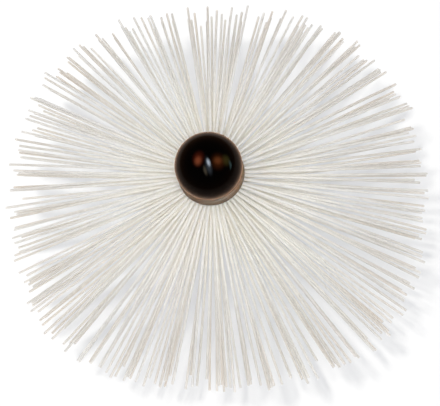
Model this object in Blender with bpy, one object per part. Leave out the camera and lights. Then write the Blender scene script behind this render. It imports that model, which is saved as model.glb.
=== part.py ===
"""Push-type chimney brush head with a guide ball.

Six rows of straight nylon strands are stacked on a sleeve, with a steel spacer
between each two rows, and clamped between two plates on a threaded spindle.
In front, a turned wooden collar seats the ball that leads the brush round the
bends of a flue. Behind, a lock nut tightens the stack, and a pinned hexagonal
socket takes the threaded end of a sweep's rod.

All sizes are in metres. The spindle's axis is +Z, towards the ball, and the
origin is on that axis in the socket's rear face, which the brush stands on.
"""
import math
import random

import bmesh
import bpy
from mathutils import Matrix, Vector

# Fits
TOUCH_GAP = 0.0003
END_PLAY = 0.0007

# Guide ball, with a flat round its threaded mouth
BALL_DIAMETER = 0.040
BALL_FLAT_DIAMETER = 0.022

# Brass insert that is moulded into the ball
INSERT_WALL = 0.0017
INSERT_LENGTH = 0.018
INSERT_END_WALL = 0.002
INSERT_GROOVE_DEPTH = 0.001
INSERT_GROOVE_START = 0.006
INSERT_GROOVE_WIDTH = 0.006

# Turned collar: a half-round bead under the ball, on a foot that is set in from it
COLLAR_BEAD_HEIGHT = 0.0050
COLLAR_LAND = 0.0009
COLLAR_FOOT_HEIGHT = 0.0005
COLLAR_FOOT_INSET = 0.001
COLLAR_BORE_DIAMETER = 0.029

# Strands: they lean back from the ball, each row more than the one in front of it, and the
# rows are turned by sixths of a strand's share
STRANDS_PER_ROW = 50
STRAND_WIDTH = 0.00155
STRAND_CLEARANCE = 0.00096
TIP_DIAMETER = 0.2703
TIP_SQUARENESS = 0.0355
TIP_OVALNESS = 0.0331
TIP_OVAL_ANGLE = math.radians(-10)
TIP_OFFSET = 0.0024
TIP_OFFSET_ANGLE = math.radians(220)
FRONT_ROW_LEAN = 0.0216
ROW_LEAN_STEP = 0.0009
TIP_SIDE_SCATTER = 0.64
LENGTH_SCATTER = 0.0045
LARGEST_SHORTFALL = 0.016
STRAND_SEED = 1522
ROW_TURNS = (0, 2, 4, 5, 1, 3)

# Bristle pack: backing rings and spacers on a sleeve, between two clamp plates
ROW_COUNT = 6
BACKING_DIAMETER = 0.036
BACKING_WALL = 0.0002
SPACER_INSET = 0.0005
SPACER_THICKNESS = 0.0004
SLEEVE_WALL = 0.0037
FRONT_PLATE_THICKNESS = 0.0012
REAR_PLATE_OVERHANG = 0.001
REAR_PLATE_THICKNESS = 0.002
PLATE_EDGE_CHAMFER = 0.0004

# Rear fasteners
PLAIN_WASHER_DIAMETER = 0.030
PLAIN_WASHER_THICKNESS = 0.0025
SPRING_WASHER_WIDTH = 0.0038
SPRING_WASHER_THICKNESS = 0.0022
SPRING_WASHER_RISE = 0.0004
SPRING_WASHER_SLIT = math.radians(12)
LOCK_NUT_ACROSS_FLATS = 0.017
LOCK_NUT_HEIGHT = 0.005

# Threaded spindle, drawn at its thread's outer diameter
SPINDLE_DIAMETER = 0.010
SPINDLE_END_CHAMFER = 0.001

# Rod socket and the pin that locks it on the spindle
SOCKET_ACROSS_FLATS = 0.019
SPINDLE_ENGAGEMENT = 0.016
ROD_THREAD_DIAMETER = 0.012
ROD_THREAD_DEPTH = 0.020
MOUTH_CHAMFER = 0.0008
PIN_DIAMETER = 0.003
PIN_END_CHAMFER = 0.0004
PIN_RECESS = 0.0004

# Facets
FINE_SEGMENTS = 36
SEGMENTS = 24
SMALL_SEGMENTS = 12
BALL_ARC_STEPS = 13
SEAT_ARC_STEPS = 3
BEAD_ARC_STEPS = 6
WELD_DISTANCE = 0.000001

# Radii that follow from the sizes above
SPINDLE_BORE = SPINDLE_DIAMETER / 2 + TOUCH_GAP
INSERT_OUTER = SPINDLE_BORE + INSERT_WALL
SLEEVE_OUTER = SPINDLE_BORE + SLEEVE_WALL
SLEEVE_FIT = SLEEVE_OUTER + TOUCH_GAP
ROD_BORE = ROD_THREAD_DIAMETER / 2 + TOUCH_GAP
PIN_BORE = PIN_DIAMETER / 2 + TOUCH_GAP
BACKING_OUTER = BACKING_DIAMETER / 2
BALL_SEAT = BALL_DIAMETER / 2 + TOUCH_GAP
BALL_FLAT_DROP = math.sqrt(BALL_DIAMETER ** 2 - BALL_FLAT_DIAMETER ** 2) / 2
LIP_DROP = BALL_FLAT_DROP - COLLAR_FOOT_HEIGHT - COLLAR_BEAD_HEIGHT
BEAD_CENTRE_RADIUS = math.sqrt(BALL_SEAT ** 2 - LIP_DROP ** 2) + COLLAR_LAND
COLLAR_FOOT = BEAD_CENTRE_RADIUS - COLLAR_FOOT_INSET

# Heights of the stack, from the socket's rear face up to the ball
SPINDLE_BASE = ROD_THREAD_DEPTH + TOUCH_GAP
SOCKET_LENGTH = ROD_THREAD_DEPTH + SPINDLE_ENGAGEMENT
PIN_HEIGHT = ROD_THREAD_DEPTH + SPINDLE_ENGAGEMENT / 2
LOCK_NUT_BASE = SOCKET_LENGTH + TOUCH_GAP
SPRING_WASHER_BASE = LOCK_NUT_BASE + LOCK_NUT_HEIGHT + TOUCH_GAP
SPRING_WASHER_TOP = SPRING_WASHER_BASE + SPRING_WASHER_THICKNESS + SPRING_WASHER_RISE
PLAIN_WASHER_BASE = SPRING_WASHER_TOP + TOUCH_GAP
REAR_PLATE_BASE = PLAIN_WASHER_BASE + PLAIN_WASHER_THICKNESS + TOUCH_GAP
PACK_BASE = REAR_PLATE_BASE + REAR_PLATE_THICKNESS + TOUCH_GAP
BACKING_HEIGHT = STRAND_WIDTH + 2 * BACKING_WALL
ROW_PITCH = BACKING_HEIGHT + SPACER_THICKNESS + 2 * TOUCH_GAP
PACK_TOP = PACK_BASE + (ROW_COUNT - 1) * ROW_PITCH + BACKING_HEIGHT
FRONT_PLATE_BASE = PACK_TOP + TOUCH_GAP
COLLAR_BASE = FRONT_PLATE_BASE + FRONT_PLATE_THICKNESS + TOUCH_GAP
BALL_CENTRE = COLLAR_BASE + BALL_FLAT_DROP
INSERT_TOP = COLLAR_BASE + INSERT_LENGTH
SPINDLE_TOP = INSERT_TOP - INSERT_END_WALL - END_PLAY

# A row's strands share its backing ring evenly, and each keeps to its own share of the
# row's circle and to its own layer between the rows in front and behind
STRAND_SHARE = 2 * math.pi / STRANDS_PER_ROW
BACKING_FACET_REACH = BACKING_OUTER * math.cos(STRAND_SHARE / 2)
ROOT_ROOM = BACKING_OUTER * math.sin(STRAND_SHARE / 2) - (STRAND_WIDTH + TOUCH_GAP) / 2
LAYER_ROOM = (ROW_PITCH + ROW_LEAN_STEP - STRAND_WIDTH - STRAND_CLEARANCE) / 2


def clear_scene():
    for thing in list(bpy.data.objects):
        bpy.data.objects.remove(thing)


def finish(name, colour, roughness, metallic=0.0):
    material = bpy.data.materials.new(name)
    material.use_nodes = True
    shader = material.node_tree.nodes["Principled BSDF"]
    shader.inputs["Base Color"].default_value = (*colour, 1.0)
    shader.inputs["Roughness"].default_value = roughness
    shader.inputs["Metallic"].default_value = metallic
    return material


def add_object(name, mesh, material):
    """Turn a bmesh into a named object, smooth where its faces meet gently."""
    bmesh.ops.recalc_face_normals(mesh, faces=mesh.faces)
    data = bpy.data.meshes.new(name)
    mesh.to_mesh(data)
    mesh.free()
    data.shade_smooth()
    data.set_sharp_from_angle(angle=math.radians(35))
    data.materials.append(material)
    thing = bpy.data.objects.new(name, data)
    bpy.context.scene.collection.objects.link(thing)
    return thing


def arc(centre, radius, start, end, steps):
    """Points of an arc in the profile plane; angles in degrees, 0 is outward, 90 is up."""
    points = []
    for step in range(steps + 1):
        angle = math.radians(start + (end - start) * step / steps)
        points.append((centre[0] + radius * math.cos(angle), centre[1] + radius * math.sin(angle)))
    return points


def turned_mesh(profile, segments):
    """Spin a closed profile of (radius, height) points about the Z axis."""
    mesh = bmesh.new()
    corners = [mesh.verts.new((radius, 0, height)) for radius, height in profile]
    edges = [mesh.edges.new((corners[i - 1], corners[i])) for i in range(len(corners))]
    bmesh.ops.spin(mesh, geom=corners + edges, cent=(0, 0, 0), axis=(0, 0, 1), dvec=(0, 0, 0),
                   angle=2 * math.pi, steps=segments, use_merge=True)
    bmesh.ops.remove_doubles(mesh, verts=mesh.verts, dist=WELD_DISTANCE)
    return mesh


def ring_profile(inner, outer, base, top, outer_chamfer=0.0, inner_chamfer=0.0):
    """Profile of a washer or tube, with its corners chamfered where that is asked for."""
    if inner_chamfer:
        bore = [(inner, top - inner_chamfer), (inner, base + inner_chamfer)]
        lower = [(inner + inner_chamfer, base)]
        upper = [(inner + inner_chamfer, top)]
    else:
        bore = [(inner, top), (inner, base)]
        lower = []
        upper = []
    if outer_chamfer:
        rim = [(outer - outer_chamfer, base), (outer, base + outer_chamfer),
               (outer, top - outer_chamfer), (outer - outer_chamfer, top)]
    else:
        rim = [(outer, base), (outer, top)]
    return bore + lower + rim + upper


def cutter(name, mesh):
    """A hidden shape that Boolean modifiers use."""
    thing = add_object(name, mesh, finish(name, (0.8, 0.8, 0.8), 0.5))
    thing.hide_render = True
    thing.display_type = "WIRE"
    return thing


def cut(thing, tool, operation="DIFFERENCE"):
    modifier = thing.modifiers.new(tool.name, "BOOLEAN")
    modifier.operation = operation
    modifier.solver = "EXACT"
    modifier.object = tool


def hexagon(name, across_flats, base, top):
    """Hexagonal prism with a pair of flats across X, taller than the piece it trims."""
    corner = across_flats / math.sqrt(3)
    middle = Matrix.Translation((0, 0, (base + top) / 2))
    mesh = bmesh.new()
    bmesh.ops.create_cone(mesh, cap_ends=True, segments=6, depth=2 * (top - base),
                          radius1=corner, radius2=corner, matrix=middle)
    return cutter(name, mesh)


def corner_chamfer(across_flats):
    """How far a turned blank's corners are cut back, so that the chamfer just meets the flats."""
    return across_flats / math.sqrt(3) - across_flats / 2


def guide_ball():
    """Glossy black moulded ball; its cavity follows the insert's grooved outside."""
    flat_angle = -math.degrees(math.asin(2 * BALL_FLAT_DROP / BALL_DIAMETER))
    sphere = arc((0, BALL_CENTRE), BALL_DIAMETER / 2, flat_angle, 90, BALL_ARC_STEPS)
    wall = INSERT_OUTER + TOUCH_GAP
    rib = wall - INSERT_GROOVE_DEPTH
    rib_base = COLLAR_BASE + INSERT_GROOVE_START + TOUCH_GAP
    rib_top = COLLAR_BASE + INSERT_GROOVE_START + INSERT_GROOVE_WIDTH - TOUCH_GAP
    cavity = [(0, INSERT_TOP + TOUCH_GAP), (wall, INSERT_TOP + TOUCH_GAP),
              (wall, rib_top), (rib, rib_top), (rib, rib_base), (wall, rib_base),
              (wall, COLLAR_BASE)]
    black = finish("black_phenolic", (0.008, 0.007, 0.007), 0.08)
    add_object("guide_ball", turned_mesh(sphere + cavity, FINE_SEGMENTS), black)


def ball_insert():
    """Brass bush with a blind threaded bore and a groove that the moulding grips."""
    outer = INSERT_OUTER
    waist = outer - INSERT_GROOVE_DEPTH
    groove_base = COLLAR_BASE + INSERT_GROOVE_START
    groove_top = groove_base + INSERT_GROOVE_WIDTH
    bore_end = INSERT_TOP - INSERT_END_WALL
    profile = [(0, INSERT_TOP), (0, bore_end), (SPINDLE_BORE, bore_end),
               (SPINDLE_BORE, COLLAR_BASE), (outer, COLLAR_BASE), (outer, groove_base),
               (waist, groove_base), (waist, groove_top), (outer, groove_top),
               (outer, INSERT_TOP)]
    brass = finish("insert_brass", (0.72, 0.52, 0.22), 0.3, 1.0)
    add_object("ball_insert", turned_mesh(profile, SEGMENTS), brass)


def front_collar():
    """Turned wooden ring: a dished seat for the ball, a half-round bead and a foot."""
    bore = COLLAR_BORE_DIAMETER / 2
    bead = COLLAR_BEAD_HEIGHT / 2
    bead_base = COLLAR_BASE + COLLAR_FOOT_HEIGHT
    lip_angle = -math.degrees(math.asin(LIP_DROP / BALL_SEAT))
    seat_end_angle = -math.degrees(math.acos(bore / BALL_SEAT))
    profile = [(bore, COLLAR_BASE), (COLLAR_FOOT, COLLAR_BASE), (COLLAR_FOOT, bead_base)]
    profile += arc((BEAD_CENTRE_RADIUS, bead_base + bead), bead, -90, 90, BEAD_ARC_STEPS)
    profile += arc((0, BALL_CENTRE), BALL_SEAT, lip_angle, seat_end_angle, SEAT_ARC_STEPS)
    wood = finish("turned_beech", (0.29, 0.19, 0.12), 0.35)
    add_object("front_collar", turned_mesh(profile, FINE_SEGMENTS), wood)


def clamp_plate(name, radius, thickness, base, material):
    profile = ring_profile(SPINDLE_BORE, radius, base, base + thickness, PLATE_EDGE_CHAMFER)
    add_object(name, turned_mesh(profile, SEGMENTS), material)


def tip_radius(angle):
    """Outline of the tips: slightly squared and oval, and trimmed a little off the axis."""
    squared = TIP_SQUARENESS * math.cos(4 * angle)
    oval = TIP_OVALNESS * math.cos(2 * (angle - TIP_OVAL_ANGLE))
    offset = TIP_OFFSET * math.cos(angle - TIP_OFFSET_ANGLE)
    return TIP_DIAMETER / 2 * (1 - squared + oval) + offset


def row_start(index):
    """Angle of a row's first strand, so that no row hides behind the one in front."""
    return ROW_TURNS[index % len(ROW_TURNS)] / len(ROW_TURNS) * STRAND_SHARE


def strand_ends(index, number, chance):
    """Centres of one strand's root and tip, each inside the strand's own share of the row."""
    angle = row_start(index) + number * STRAND_SHARE
    sideways = chance.uniform(-ROOT_ROOM, ROOT_ROOM)
    height = PACK_TOP - BACKING_HEIGHT / 2 - index * ROW_PITCH
    root = Vector((BACKING_FACET_REACH * math.cos(angle) - sideways * math.sin(angle),
                   BACKING_FACET_REACH * math.sin(angle) + sideways * math.cos(angle), height))
    tip_angle = angle + chance.uniform(-TIP_SIDE_SCATTER, TIP_SIDE_SCATTER) * STRAND_SHARE / 2
    shortfall = min(abs(chance.gauss(0, LENGTH_SCATTER)), LARGEST_SHORTFALL)
    reach = tip_radius(tip_angle) - shortfall
    lean = FRONT_ROW_LEAN + index * ROW_LEAN_STEP + chance.uniform(-LAYER_ROOM, LAYER_ROOM)
    slope = lean / (TIP_DIAMETER / 2 - BACKING_OUTER)
    drop = slope * (reach - BACKING_OUTER)
    tip = Vector((reach * math.cos(tip_angle), reach * math.sin(tip_angle), height - drop))
    return root, tip


def move_section(face, centre, across, up):
    """Move a four-cornered face's corners to a strand's square section round a centre."""
    middle = face.calc_center_median()
    for corner in face.verts:
        side = math.copysign(STRAND_WIDTH / 2, (corner.co - middle).dot(across))
        level = math.copysign(STRAND_WIDTH / 2, corner.co.z - middle.z)
        corner.co = centre + side * across + level * up


def outer_facets(mesh, first_angle):
    """The facets of a backing ring's outer wall, in order from the one at the first angle."""
    found = []
    for face in mesh.faces:
        middle = face.calc_center_median()
        if middle.to_2d().length > BACKING_FACET_REACH - WELD_DISTANCE:
            turn = math.atan2(middle.y, middle.x) - first_angle + STRAND_SHARE / 2
            found.append((turn % (2 * math.pi), face))
    return [face for turn, face in sorted(found, key=lambda pair: pair[0])]


def bristle_row(index, material):
    """One row: a moulded backing ring whose outer facets are drawn out into strands."""
    chance = random.Random(STRAND_SEED + index)
    base = PACK_TOP - BACKING_HEIGHT - index * ROW_PITCH
    profile = ring_profile(SLEEVE_FIT, BACKING_OUTER, base, base + BACKING_HEIGHT)
    mesh = turned_mesh(profile, STRANDS_PER_ROW)
    turn = Matrix.Rotation(row_start(index) - STRAND_SHARE / 2, 3, "Z")
    bmesh.ops.rotate(mesh, verts=mesh.verts, cent=(0, 0, 0), matrix=turn)
    facets = outer_facets(mesh, row_start(index))
    ends = [strand_ends(index, number, chance) for number in range(STRANDS_PER_ROW)]
    bmesh.ops.inset_individual(mesh, faces=facets, thickness=STRAND_CLEARANCE / 4)
    for facet, (root, tip) in zip(facets, ends):
        outward = facet.calc_center_median().to_2d().normalized()
        move_section(facet, root, Vector((-outward.y, outward.x, 0)), Vector((0, 0, 1)))
    sections = bmesh.ops.extrude_discrete_faces(mesh, faces=facets)["faces"]
    for section, (root, tip) in zip(sections, ends):
        along = (tip - root).normalized()
        across = Vector((-along.y, along.x, 0)).normalized()
        move_section(section, tip, across, along.cross(across))
    add_object(f"bristle_row_{index + 1}", mesh, material)


def bristle_pack(steel):
    """All the rows, front to rear, with a thin spacer behind each but the last."""
    nylon = finish("cream_nylon", (0.80, 0.77, 0.70), 0.4)
    for index in range(ROW_COUNT):
        bristle_row(index, nylon)
    for index in range(ROW_COUNT - 1):
        top = PACK_TOP - BACKING_HEIGHT - index * ROW_PITCH - TOUCH_GAP
        profile = ring_profile(SLEEVE_FIT, BACKING_OUTER - SPACER_INSET, top - SPACER_THICKNESS, top)
        add_object(f"row_spacer_{index + 1}", turned_mesh(profile, SEGMENTS), steel)


def core_sleeve(steel):
    """Tube that centres the rows and their spacers on the spindle."""
    profile = ring_profile(SPINDLE_BORE, SLEEVE_OUTER, PACK_BASE, PACK_TOP)
    add_object("core_sleeve", turned_mesh(profile, SEGMENTS), steel)


def plain_washer(steel):
    profile = ring_profile(SPINDLE_BORE, PLAIN_WASHER_DIAMETER / 2, PLAIN_WASHER_BASE,
                           PLAIN_WASHER_BASE + PLAIN_WASHER_THICKNESS, PLATE_EDGE_CHAMFER)
    add_object("plain_washer", turned_mesh(profile, SEGMENTS), steel)


def spring_washer(steel):
    """Split ring that climbs a little from one end of its slit to the other."""
    base = SPRING_WASHER_BASE
    profile = ring_profile(SPINDLE_BORE, SPINDLE_BORE + SPRING_WASHER_WIDTH, base,
                           base + SPRING_WASHER_THICKNESS)
    mesh = bmesh.new()
    end = mesh.faces.new([mesh.verts.new((radius, 0, height)) for radius, height in profile])
    section = [end] + list(end.edges) + list(end.verts)
    bmesh.ops.spin(mesh, geom=section, cent=(0, 0, 0), axis=(0, 0, 1),
                   dvec=(0, 0, SPRING_WASHER_RISE / SEGMENTS),
                   angle=2 * math.pi - SPRING_WASHER_SLIT, steps=SEGMENTS)
    add_object("spring_washer", mesh, steel)


def lock_nut(steel):
    """Thin hexagonal nut with both faces chamfered."""
    top = LOCK_NUT_BASE + LOCK_NUT_HEIGHT
    across = LOCK_NUT_ACROSS_FLATS
    chamfer = corner_chamfer(across)
    corner = across / math.sqrt(3)
    profile = ring_profile(SPINDLE_BORE, corner, LOCK_NUT_BASE, top, chamfer / 2, MOUTH_CHAMFER)
    thing = add_object("lock_nut", turned_mesh(profile, SEGMENTS), steel)
    cut(thing, hexagon("lock_nut_flats", across, LOCK_NUT_BASE, top), "INTERSECT")


def spindle(steel, pin_hole):
    """Threaded stud through the whole stack, cross-drilled for the socket's pin."""
    radius = SPINDLE_DIAMETER / 2
    chamfer = SPINDLE_END_CHAMFER
    profile = [(0, SPINDLE_TOP), (0, SPINDLE_BASE), (radius - chamfer, SPINDLE_BASE),
               (radius, SPINDLE_BASE + chamfer), (radius, SPINDLE_TOP - chamfer),
               (radius - chamfer, SPINDLE_TOP)]
    thing = add_object("spindle", turned_mesh(profile, SEGMENTS), steel)
    cut(thing, pin_hole)


def rod_socket(steel, pin_hole):
    """Hexagonal socket: a wide bore for the rod's thread, stepped down to the spindle's."""
    across = SOCKET_ACROSS_FLATS
    corner = across / math.sqrt(3)
    chamfer = corner_chamfer(across)
    rim = [(corner - chamfer, 0), (corner, chamfer), (corner, SOCKET_LENGTH - chamfer),
           (corner - chamfer, SOCKET_LENGTH)]
    bore = [(SPINDLE_BORE, SOCKET_LENGTH), (SPINDLE_BORE, ROD_THREAD_DEPTH),
            (ROD_BORE, ROD_THREAD_DEPTH), (ROD_BORE, MOUTH_CHAMFER),
            (ROD_BORE + MOUTH_CHAMFER, 0)]
    thing = add_object("rod_socket", turned_mesh(bore + rim, SEGMENTS), steel)
    cut(thing, hexagon("rod_socket_flats", across, 0, SOCKET_LENGTH), "INTERSECT")
    cut(thing, pin_hole)


def lay_along_x(mesh):
    """Turn a piece made about Z so that its axis runs along X at the pin's height."""
    for corner in mesh.verts:
        corner.co = Vector((corner.co.z, corner.co.y, PIN_HEIGHT - corner.co.x))
    return mesh


def socket_pin(steel):
    """Dowel that locks the socket on the spindle, just short of the flats."""
    radius = PIN_DIAMETER / 2
    half = SOCKET_ACROSS_FLATS / 2 - PIN_RECESS
    chamfer = PIN_END_CHAMFER
    profile = [(0, half), (0, -half), (radius - chamfer, -half), (radius, chamfer - half),
               (radius, half - chamfer), (radius - chamfer, half)]
    add_object("socket_pin", lay_along_x(turned_mesh(profile, SMALL_SEGMENTS)), steel)


def pin_hole_cutter():
    reach = SOCKET_ACROSS_FLATS
    profile = [(0, reach), (0, -reach), (PIN_BORE, -reach), (PIN_BORE, reach)]
    return cutter("pin_hole", lay_along_x(turned_mesh(profile, SMALL_SEGMENTS)))


def main():
    clear_scene()
    zinc = finish("zinc_plated_steel", (0.62, 0.62, 0.60), 0.35, 1.0)
    dark_steel = finish("dark_steel", (0.20, 0.20, 0.21), 0.4, 1.0)
    guide_ball()
    ball_insert()
    front_collar()
    clamp_plate("front_plate", COLLAR_FOOT, FRONT_PLATE_THICKNESS, FRONT_PLATE_BASE, zinc)
    bristle_pack(zinc)
    core_sleeve(zinc)
    clamp_plate("rear_plate", BACKING_OUTER + REAR_PLATE_OVERHANG, REAR_PLATE_THICKNESS,
                REAR_PLATE_BASE, zinc)
    plain_washer(zinc)
    spring_washer(dark_steel)
    lock_nut(zinc)
    pin_hole = pin_hole_cutter()
    spindle(zinc, pin_hole)
    rod_socket(zinc, pin_hole)
    socket_pin(dark_steel)


main()
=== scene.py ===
"""Chimney brush head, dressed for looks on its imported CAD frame.

The strands, guide ball, collar and rear fasteners are modelled here in full detail over
the CAD pieces that they stand for. The pieces that stay from the frame get finishes.
All sizes are in metres, with the spindle's axis along +Z and the ball at the top.
"""

import math
import random

import bpy
from bpy.props import FloatProperty, FloatVectorProperty, IntProperty, PointerProperty
from mathutils import Matrix, Vector


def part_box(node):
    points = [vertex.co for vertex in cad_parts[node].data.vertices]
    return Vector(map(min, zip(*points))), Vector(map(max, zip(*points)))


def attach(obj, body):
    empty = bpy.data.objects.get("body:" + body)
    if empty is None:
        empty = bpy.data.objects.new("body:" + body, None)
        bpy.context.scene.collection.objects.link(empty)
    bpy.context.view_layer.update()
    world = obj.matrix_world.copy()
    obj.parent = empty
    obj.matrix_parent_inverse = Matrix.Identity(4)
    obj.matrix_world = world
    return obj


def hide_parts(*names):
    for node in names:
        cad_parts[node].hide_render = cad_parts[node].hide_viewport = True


bl_info = {
    "name": "Chimney Brush",
    "version": (1, 0, 0),
    "blender": (4, 5, 0),
    "location": "View3D > Sidebar > Chimney Brush",
    "description": "Models and finishes a push-type chimney brush head with a guide ball",
    "category": "Add Mesh",
}

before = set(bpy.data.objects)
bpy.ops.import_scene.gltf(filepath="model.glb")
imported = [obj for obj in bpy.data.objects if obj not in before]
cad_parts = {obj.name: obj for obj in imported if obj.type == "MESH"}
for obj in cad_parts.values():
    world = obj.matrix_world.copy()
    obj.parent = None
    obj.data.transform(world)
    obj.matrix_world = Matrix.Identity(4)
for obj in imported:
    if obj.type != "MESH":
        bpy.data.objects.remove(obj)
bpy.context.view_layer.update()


def node_radius(name):
    """Outer radius of a turned CAD node."""
    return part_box(name)[1].x


def node_base(name):
    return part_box(name)[0].z


def node_top(name):
    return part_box(name)[1].z


# Settings

def length(name, description, default, soft_max=0.5):
    return FloatProperty(name=name, description=description, default=default, min=0.0,
                         soft_max=soft_max, precision=5, subtype="DISTANCE", unit="LENGTH")


def share(name, description, default):
    return FloatProperty(name=name, description=description, default=default, min=0.0,
                         max=1.0, subtype="FACTOR")


def angle(name, description, degrees):
    return FloatProperty(name=name, description=description, default=math.radians(degrees),
                         subtype="ANGLE", unit="ROTATION")


def light_level(name, description, default):
    return FloatProperty(name=name, description=description, default=default, min=0.0, max=4.0)


def colour(name, description, default):
    return FloatVectorProperty(name=name, description=description, default=default, size=3,
                               min=0.0, max=1.0, subtype="COLOR")


class StrandSettings(bpy.types.PropertyGroup):
    rows: IntProperty(name="Rows", description="Rows of strands, front to rear",
                      default=6, min=1, max=6)
    per_row: IntProperty(name="Strands per row", description="Strands in each row",
                         default=50, min=3, max=60)
    seed: IntProperty(name="Seed", description="Number that fixes the strands' scatter",
                      default=1522)
    width: length("Strand width", "Diameter of one nylon strand", 0.00155)
    backing_diameter: length("Backing diameter", "Outside of the moulded ring", 0.036)
    backing_wall: length("Backing wall", "Ring above and below a strand", 0.0002)
    row_pitch: length("Row pitch", "Height from one row to the next", 0.00295)
    tip_diameter: length("Tip diameter", "Diameter across the tips before they scatter", 0.2703)
    tip_squareness: share("Tip squareness", "How far the tips' outline is squared", 0.0355)
    tip_ovalness: share("Tip ovalness", "How far the tips' outline is oval", 0.0331)
    tip_oval_angle: angle("Tip oval angle", "Direction of the oval's long axis", -10)
    tip_offset: length("Tip offset", "How far the tips are trimmed off the axis", 0.0024)
    tip_offset_angle: angle("Tip offset angle", "Direction of that offset", 220)
    front_lean: length("Front row lean", "How far the front row's tips lean back", 0.0216)
    lean_step: length("Lean step", "How much further each row behind it leans", 0.0009)
    side_scatter: share("Side scatter", "Tip scatter as a share of a strand's room", 0.64)
    length_scatter: length("Length scatter", "Spread of the strands' lengths", 0.0045)
    largest_shortfall: length("Largest shortfall", "Most that a strand falls short", 0.016)
    clearance: length("Strand clearance", "Room kept between neighbouring strands", 0.00096)
    bow: length("Bow", "How far a typical strand bows from a straight line", 0.00035)
    cream: colour("Cream", "Nylon near the hub", (0.968, 0.954, 0.903))
    tan: colour("Tan", "Nylon of the warmest strands", (0.88, 0.825, 0.72))
    # The tip colours are painted shade: darker than the nylon, for the bounced light that lone
    # strands at the tips miss
    tip: colour("Tip", "Nylon at the tips", (0.53, 0.505, 0.455))
    shaded_tip_brown: colour("Brown tip", "Nylon at the brownest tips", (0.545, 0.465, 0.395))


class BallSettings(bpy.types.PropertyGroup):
    diameter: length("Ball diameter", "Diameter of the guide ball", 0.040)
    mouth_diameter: length("Mouth diameter", "Diameter of the flat at its mouth", 0.022)
    black: colour("Black", "Colour of the moulded ball", (0.0007, 0.0006, 0.0006))
    roughness: share("Roughness", "Roughness of its polish", 0.05)


class CollarSettings(bpy.types.PropertyGroup):
    bore_diameter: length("Collar bore", "Diameter of the hole under the ball", 0.029)
    bead_height: length("Bead height", "Height of the half-round bead", 0.0050)
    foot_height: length("Foot height", "Height of the foot below the bead", 0.0005)
    foot_inset: length("Foot inset", "How far the foot is set in from the bead", 0.001)
    light: colour("Light grain", "Early wood", (0.192, 0.142, 0.095))
    dark: colour("Dark grain", "Late wood and pores", (0.116, 0.082, 0.053))


class FastenerSettings(bpy.types.PropertyGroup):
    bore_diameter: length("Spindle bore", "Hole of the washers and the nut", 0.0106)
    edge: length("Broken edge", "Width of the broken edges", 0.0002)
    rod_bore_diameter: length("Rod bore", "Bore of the rod socket", 0.0126)
    rod_bore_depth: length("Rod bore depth", "Depth of the rod's thread", 0.020)
    rod_pitch: length("Rod thread pitch", "Pitch of the rod's thread", 0.00175)
    spindle_pitch: length("Spindle thread pitch", "Pitch of the spindle's thread", 0.0015)
    zinc: colour("Zinc", "Zinc plating", (0.62, 0.63, 0.62))
    dark_steel: colour("Dark steel", "Oiled spring steel", (0.16, 0.155, 0.15))
    brass: colour("Brass", "Brass of the ball's insert", (0.72, 0.52, 0.22))


class StageSettings(bpy.types.PropertyGroup):
    camera_distance: length("Camera distance", "From the camera to its target", 0.5198, 5)
    camera_lens: FloatProperty(name="Lens", description="Focal length in millimetres",
                               default=72.57, min=10, max=300)
    camera_azimuth: angle("Azimuth", "Camera's turn about the axis", 20.7)
    camera_elevation: angle("Elevation", "Camera above the floor", 74)
    camera_roll: angle("Roll", "Camera's turn about its own axis", -20)
    fill: light_level("Fill level", "Light from all round", 0.44)
    front: light_level("Front level", "Light of the lamp beside the camera", 0.65)
    floor_key: light_level("Floor lamp level", "Light of the lamp that shades the floor", 1.76)
    key: light_level("Key level", "Light from the lamp above", 0.07)


# Modelling helpers

# Room between pieces, a seat's smaller room, and width of broken edges
CLEARANCE = 0.0003
SEAT_CLEARANCE = 0.0001
EDGE = 0.0003
# Farthest that corners are merged, and sharpest angle in degrees that is shaded smooth
MERGE_DISTANCE = 0.000002
CRISP_ANGLE = 30
# Segments round a turned piece, and round the large polished ones
TURN_STEPS = 96
FINE_TURN_STEPS = 128


def clear_selection():
    if bpy.context.object and bpy.context.object.mode != "OBJECT":
        bpy.ops.object.mode_set(mode="OBJECT")
    bpy.ops.object.select_all(action="DESELECT")


def pick(piece, *others):
    """Select pieces, the first of them active."""
    clear_selection()
    for each in (piece, *others):
        each.select_set(True)
    bpy.context.view_layer.objects.active = piece


def join(piece, *others):
    pick(piece, *others)
    bpy.ops.object.join()


def edit_all():
    bpy.ops.object.mode_set(mode="EDIT")
    bpy.ops.mesh.select_all(action="SELECT")


def merge_corners():
    """Merge corners that coincide, in edit mode."""
    bpy.ops.mesh.select_all(action="SELECT")
    bpy.ops.mesh.remove_doubles(threshold=MERGE_DISTANCE)


def tidy_mesh():
    """Merge corners, turn the faces outwards and leave edit mode."""
    merge_corners()
    bpy.ops.mesh.normals_make_consistent(inside=False)
    bpy.ops.object.mode_set(mode="OBJECT")


def apply_placing():
    """Move the active piece's place, turn and scale into its mesh."""
    bpy.ops.object.transform_apply(location=True, rotation=True, scale=True)


def smooth(piece, degrees=CRISP_ANGLE):
    """Shade a piece smooth, except at edges sharper than an angle."""
    pick(piece)
    bpy.ops.object.shade_smooth_by_angle(angle=math.radians(degrees))


def apply_modifier(piece, kind, **values):
    pick(piece)
    modifier = piece.modifiers.new(kind.lower(), kind)
    for key, value in values.items():
        setattr(modifier, key, value)
    bpy.ops.object.modifier_apply(modifier=modifier.name)


def arc(centre, radius, start, end, steps):
    """Points of an arc in the profile plane; angles in degrees, 0 outward and 90 up."""
    points = []
    for step in range(steps + 1):
        turn = math.radians(start + (end - start) * step / steps)
        points.append((centre[0] + radius * math.cos(turn), centre[1] + radius * math.sin(turn)))
    return points


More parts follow.
